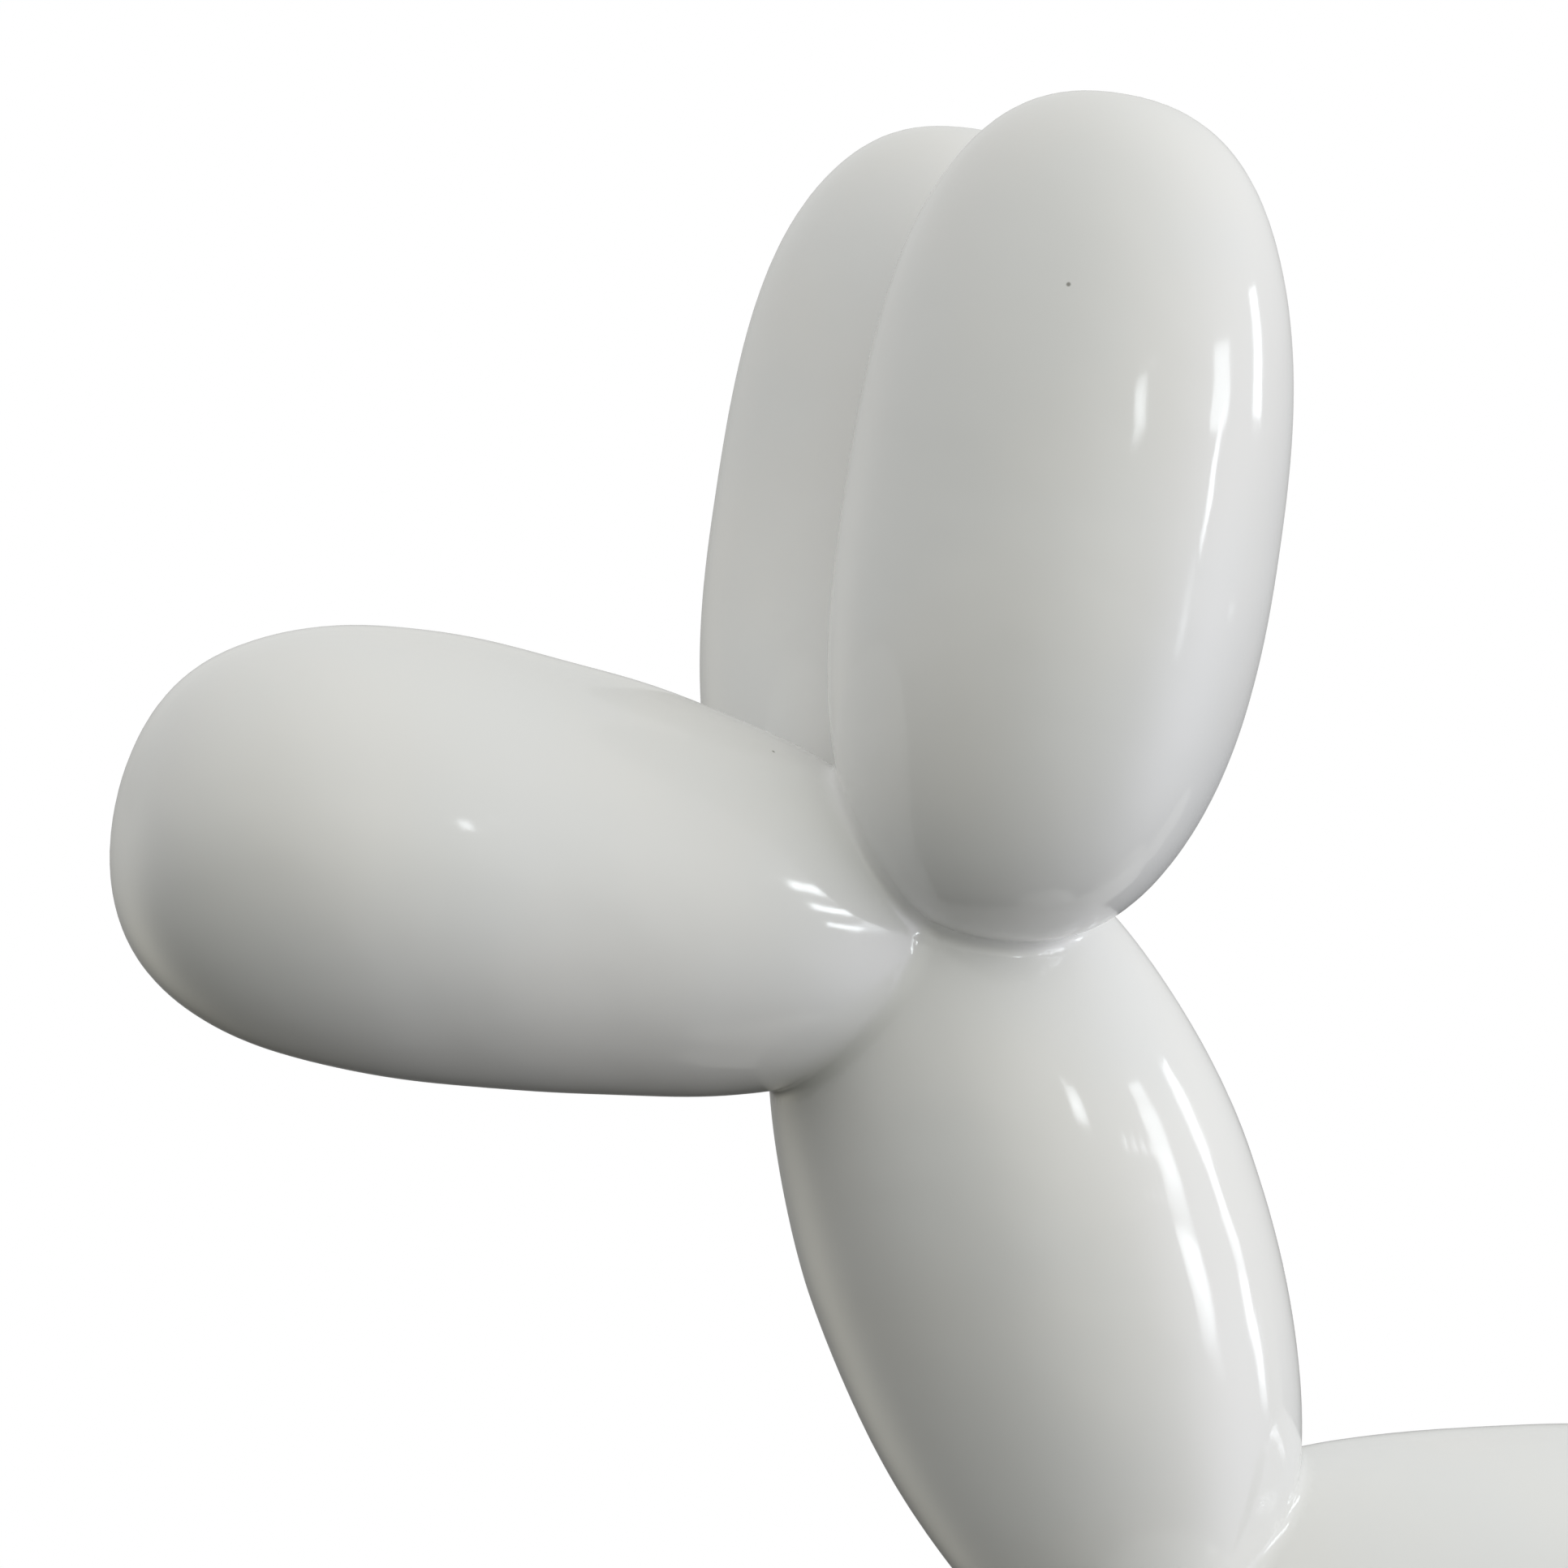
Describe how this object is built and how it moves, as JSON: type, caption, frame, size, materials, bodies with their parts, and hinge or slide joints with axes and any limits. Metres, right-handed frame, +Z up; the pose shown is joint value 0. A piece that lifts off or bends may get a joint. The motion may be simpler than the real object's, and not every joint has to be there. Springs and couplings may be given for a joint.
{
  "type": "balloon dog sculpture",
  "caption": "Free-standing dog in the form of twisted party balloons, with a long snout, upright ears, round legs and a short tail, in glossy white.",
  "frame": {"origin": "on the floor, under the middle of the bounding box", "axes": "+Z up, -Y the way the dog faces, +X towards the dog's left side"},
  "size_m": [0.3544, 0.968, 0.9968],
  "materials": {
    "gloss_white": "white lacquer with a high gloss and a very faint orange peel, soft creases between balloons"
  },
  "bodies": {
    "root": {"balloon_dog": "gloss_white"}
  },
  "joints": []
}
